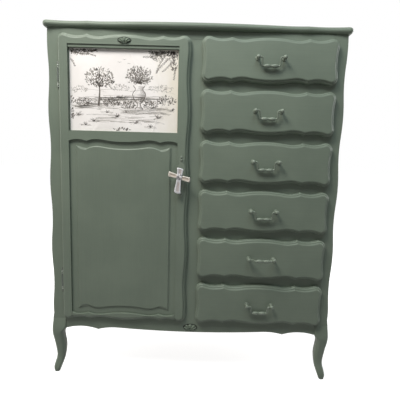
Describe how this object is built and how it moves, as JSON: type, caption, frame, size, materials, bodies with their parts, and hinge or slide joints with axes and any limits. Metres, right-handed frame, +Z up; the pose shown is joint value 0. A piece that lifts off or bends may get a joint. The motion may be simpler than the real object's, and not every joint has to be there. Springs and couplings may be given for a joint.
{
  "type": "chifforobe",
  "caption": "Painted chifforobe on cabriole legs: a frame-and-panel door beside a stack of scalloped drawers; the door swings, the drawers slide and their bails hang free.",
  "frame": {"origin": "on the floor, under the middle of the overall width and depth", "axes": "+X to the right as seen from the front, +Y to the back, +Z up"},
  "size_m": [1.119, 0.54, 1.358],
  "materials": {
    "painted_wood": "satin paint",
    "bare_wood": "raw",
    "plywood": "raw",
    "painted_metal": "satin paint",
    "rod_steel": "polished",
    "catch_steel": "brushed",
    "print_paper": "matt paper print",
    "cross_metal": "polished"
  },
  "bodies": {
    "case": {"top_board": "painted_wood", "left_front_post": "painted_wood", "right_front_post": "painted_wood", "rear_posts": "painted_wood", "top_rail": "painted_wood", "centre_stile": "painted_wood", "apron": "painted_wood", "drawer_rails": "painted_wood", "left_side_panel": "painted_wood", "right_side_panel": "painted_wood", "apron_shell": "painted_wood", "partition": "bare_wood", "bottom_board": "bare_wood", "drawer_runners": "bare_wood", "hat_shelf": "bare_wood", "shelf_cleats": "bare_wood", "back_panel": "plywood", "rod_sockets": "bare_wood", "clothes_rod": "rod_steel", "door_catch": "catch_steel", "hinge_case_leaves": "painted_metal", "hinge_pins": "painted_metal"},
    "door": {"door_hinge_stile": "painted_wood", "door_lock_stile": "painted_wood", "door_top_rail": "painted_wood", "door_mid_rail": "painted_wood", "door_bottom_rail": "painted_wood", "door_panel": "painted_wood", "print_beads": "painted_wood", "door_shell": "painted_wood", "print_board": "print_paper", "hinge_door_leaves": "painted_metal", "escutcheon": "painted_metal", "cross_pull": "cross_metal", "catch_strike": "catch_steel"},
    "drawer_1": {"drawer_1_front": "painted_wood", "drawer_1_box": "bare_wood", "drawer_1_pull_posts": "painted_metal"},
    "bail_1": {"bail_1": "painted_metal"},
    "drawer_2": {"drawer_2_front": "painted_wood", "drawer_2_box": "bare_wood", "drawer_2_pull_posts": "painted_metal"},
    "bail_2": {"bail_2": "painted_metal"},
    "drawer_3": {"drawer_3_front": "painted_wood", "drawer_3_box": "bare_wood", "drawer_3_pull_posts": "painted_metal"},
    "bail_3": {"bail_3": "painted_metal"},
    "drawer_4": {"drawer_4_front": "painted_wood", "drawer_4_box": "bare_wood", "drawer_4_pull_posts": "painted_metal"},
    "bail_4": {"bail_4": "painted_metal"},
    "drawer_5": {"drawer_5_front": "painted_wood", "drawer_5_box": "bare_wood", "drawer_5_pull_posts": "painted_metal"},
    "bail_5": {"bail_5": "painted_metal"},
    "drawer_6": {"drawer_6_front": "painted_wood", "drawer_6_box": "bare_wood", "drawer_6_pull_posts": "painted_metal"},
    "bail_6": {"bail_6": "painted_metal"}
  },
  "joints": [
    {"name": "door_swing", "type": "hinge", "parent": "case", "child": "door", "pos_m": [-0.5065, -0.19438, 0.772], "axis": [0, 0, -1], "range_deg": [0, 110]},
    {"name": "drawer_1_slide", "type": "slide", "parent": "case", "child": "drawer_1", "axis": [0, -1, 0], "range_m": [0, 0.33]},
    {"name": "bail_1_swing", "type": "hinge", "parent": "drawer_1", "child": "bail_1", "pos_m": [0.265, -0.23388, 1.2385], "axis": [-1, 0, 0], "range_deg": [-4, 126]},
    {"name": "drawer_2_slide", "type": "slide", "parent": "case", "child": "drawer_2", "axis": [0, -1, 0], "range_m": [0, 0.33]},
    {"name": "bail_2_swing", "type": "hinge", "parent": "drawer_2", "child": "bail_2", "pos_m": [0.265, -0.23388, 1.0545], "axis": [-1, 0, 0], "range_deg": [-4, 126]},
    {"name": "drawer_3_slide", "type": "slide", "parent": "case", "child": "drawer_3", "axis": [0, -1, 0], "range_m": [0, 0.33]},
    {"name": "bail_3_swing", "type": "hinge", "parent": "drawer_3", "child": "bail_3", "pos_m": [0.265, -0.23388, 0.8705], "axis": [-1, 0, 0], "range_deg": [-4, 126]},
    {"name": "drawer_4_slide", "type": "slide", "parent": "case", "child": "drawer_4", "axis": [0, -1, 0], "range_m": [0, 0.33]},
    {"name": "bail_4_swing", "type": "hinge", "parent": "drawer_4", "child": "bail_4", "pos_m": [0.265, -0.23388, 0.6865], "axis": [-1, 0, 0], "range_deg": [-4, 126]},
    {"name": "drawer_5_slide", "type": "slide", "parent": "case", "child": "drawer_5", "axis": [0, -1, 0], "range_m": [0, 0.33]},
    {"name": "bail_5_swing", "type": "hinge", "parent": "drawer_5", "child": "bail_5", "pos_m": [0.265, -0.23388, 0.5025], "axis": [-1, 0, 0], "range_deg": [-120, 10]},
    {"name": "drawer_6_slide", "type": "slide", "parent": "case", "child": "drawer_6", "axis": [0, -1, 0], "range_m": [0, 0.33]},
    {"name": "bail_6_swing", "type": "hinge", "parent": "drawer_6", "child": "bail_6", "pos_m": [0.265, -0.23388, 0.3185], "axis": [-1, 0, 0], "range_deg": [-4, 126]}
  ]
}
